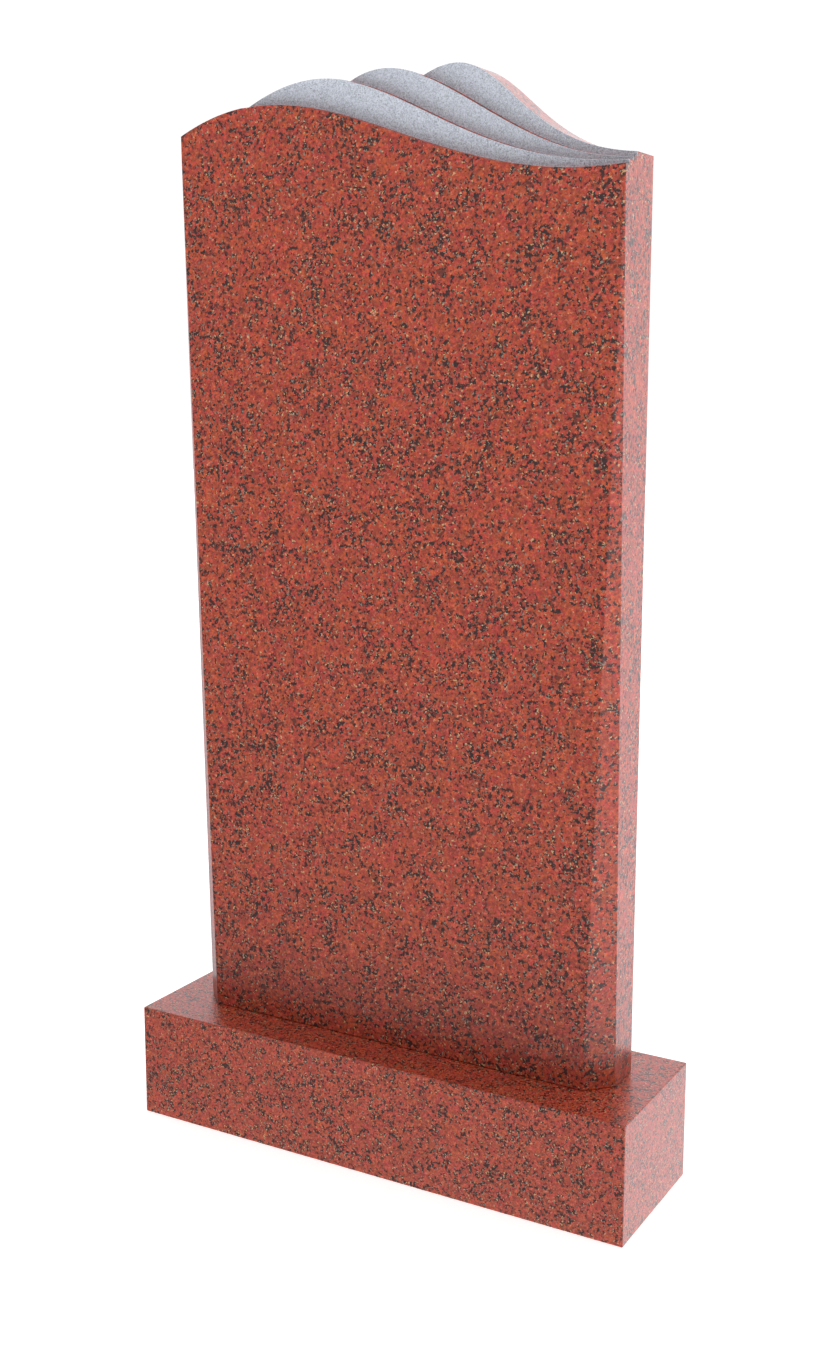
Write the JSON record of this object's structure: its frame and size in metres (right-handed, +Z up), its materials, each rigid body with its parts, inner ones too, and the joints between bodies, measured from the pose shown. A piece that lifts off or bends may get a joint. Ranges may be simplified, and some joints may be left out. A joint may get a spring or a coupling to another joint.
{
  "type": "upright headstone",
  "caption": "Upright polished granite headstone on a plain base block, its top carved as overlapping waves and its front corners chamfered towards the foot.",
  "frame": {"origin": "centre of the base block's underside", "axes": "+Z up, X along the front of the stone with +X to the right as the front is looked at, +Y towards the back, so the polished front faces -Y"},
  "size_m": [0.7, 0.2, 1.3499],
  "materials": {
    "polished_slab": "polished red granite with dark and cream grains, and pale bush-hammered steps between the waves",
    "polished_base": "polished red granite with dark and cream grains"
  },
  "bodies": {
    "root": {"headstone_slab": "polished_slab", "base_plinth": "polished_base"}
  },
  "joints": []
}
